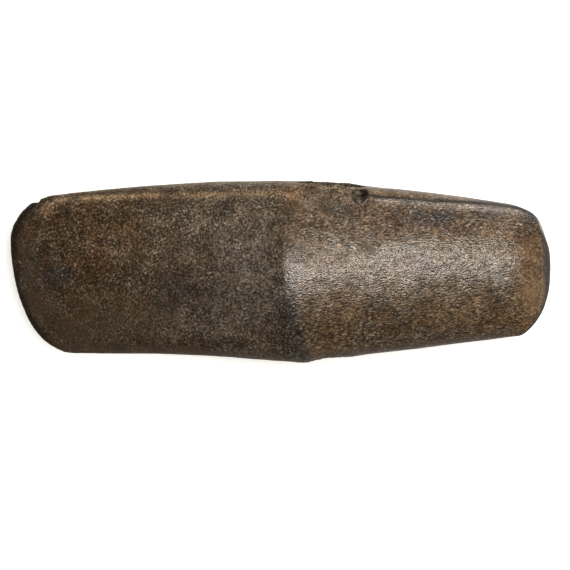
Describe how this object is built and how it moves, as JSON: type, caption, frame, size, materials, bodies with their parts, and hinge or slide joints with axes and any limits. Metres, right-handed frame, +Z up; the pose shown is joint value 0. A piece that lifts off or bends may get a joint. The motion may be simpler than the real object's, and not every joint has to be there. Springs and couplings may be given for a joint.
{
  "type": "stone hammer axe head",
  "caption": "Hammer axe head of ground stone: a broad blunt cutting edge at one end, a domed hammer face at the other, and a haft hole bored through between them.",
  "frame": {"origin": "middle of the bounding box in plan, on the ground plane that the axe lies on", "axes": "+X along the axe from the cutting edge to the hammer face, +Y along the haft hole towards the upper face, +Z up through the thickness, towards the side that shows"},
  "size_m": [0.19, 0.0634, 0.0505],
  "materials": {
    "stone": "dark brown ground stone, matt and finely pecked on the blade, rubbed to a dull gloss behind the ridge"
  },
  "bodies": {
    "root": {"axe_head": "stone"}
  },
  "joints": []
}
